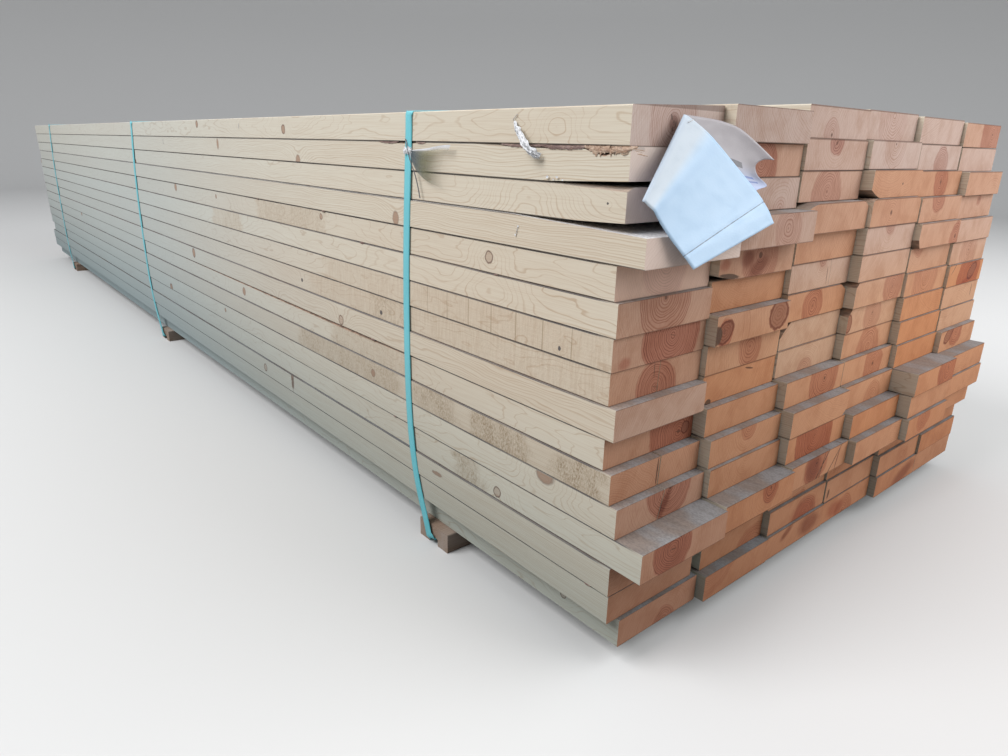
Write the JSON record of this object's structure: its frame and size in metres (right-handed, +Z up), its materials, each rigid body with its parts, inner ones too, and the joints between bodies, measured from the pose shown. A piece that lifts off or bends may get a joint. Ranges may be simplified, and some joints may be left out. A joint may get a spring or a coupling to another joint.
{
  "type": "bundle of fascia boards",
  "caption": "Strapped bundle of sawn softwood fascia boards with uneven ends, a hanging tag, plastic straps and grooved bolsters underneath.",
  "frame": {"origin": "on the floor, below the middle of the whole bundle", "axes": "+X along the boards towards the tagged near end, +Y across from the long side with the torn wrap, +Z up"},
  "size_m": [4.595, 1.1804, 0.7846],
  "materials": {
    "board_wood": "sawn, unfinished",
    "bolster_wood": "rough, weathered",
    "strap_plastic": "embossed strapping",
    "tag_sheet": "synthetic paper",
    "wrap_film": "woven film"
  },
  "bodies": {
    "root": {"course_01": "board_wood", "course_02": "board_wood", "course_03": "board_wood", "course_04": "board_wood", "course_05": "board_wood", "course_06": "board_wood", "course_07": "board_wood", "course_08": "board_wood", "course_09": "board_wood", "course_10": "board_wood", "course_11": "board_wood", "course_12": "board_wood", "course_13": "board_wood", "course_14": "board_wood", "course_15": "board_wood", "course_16": "board_wood", "bolster_near": "bolster_wood", "bolster_middle": "bolster_wood", "bolster_far": "bolster_wood", "strap_near": "strap_plastic", "strap_middle": "strap_plastic", "strap_far": "strap_plastic", "tag": "tag_sheet", "wrap_scrap_staple": "wrap_film", "wrap_scrap_strap": "wrap_film"}
  },
  "joints": []
}
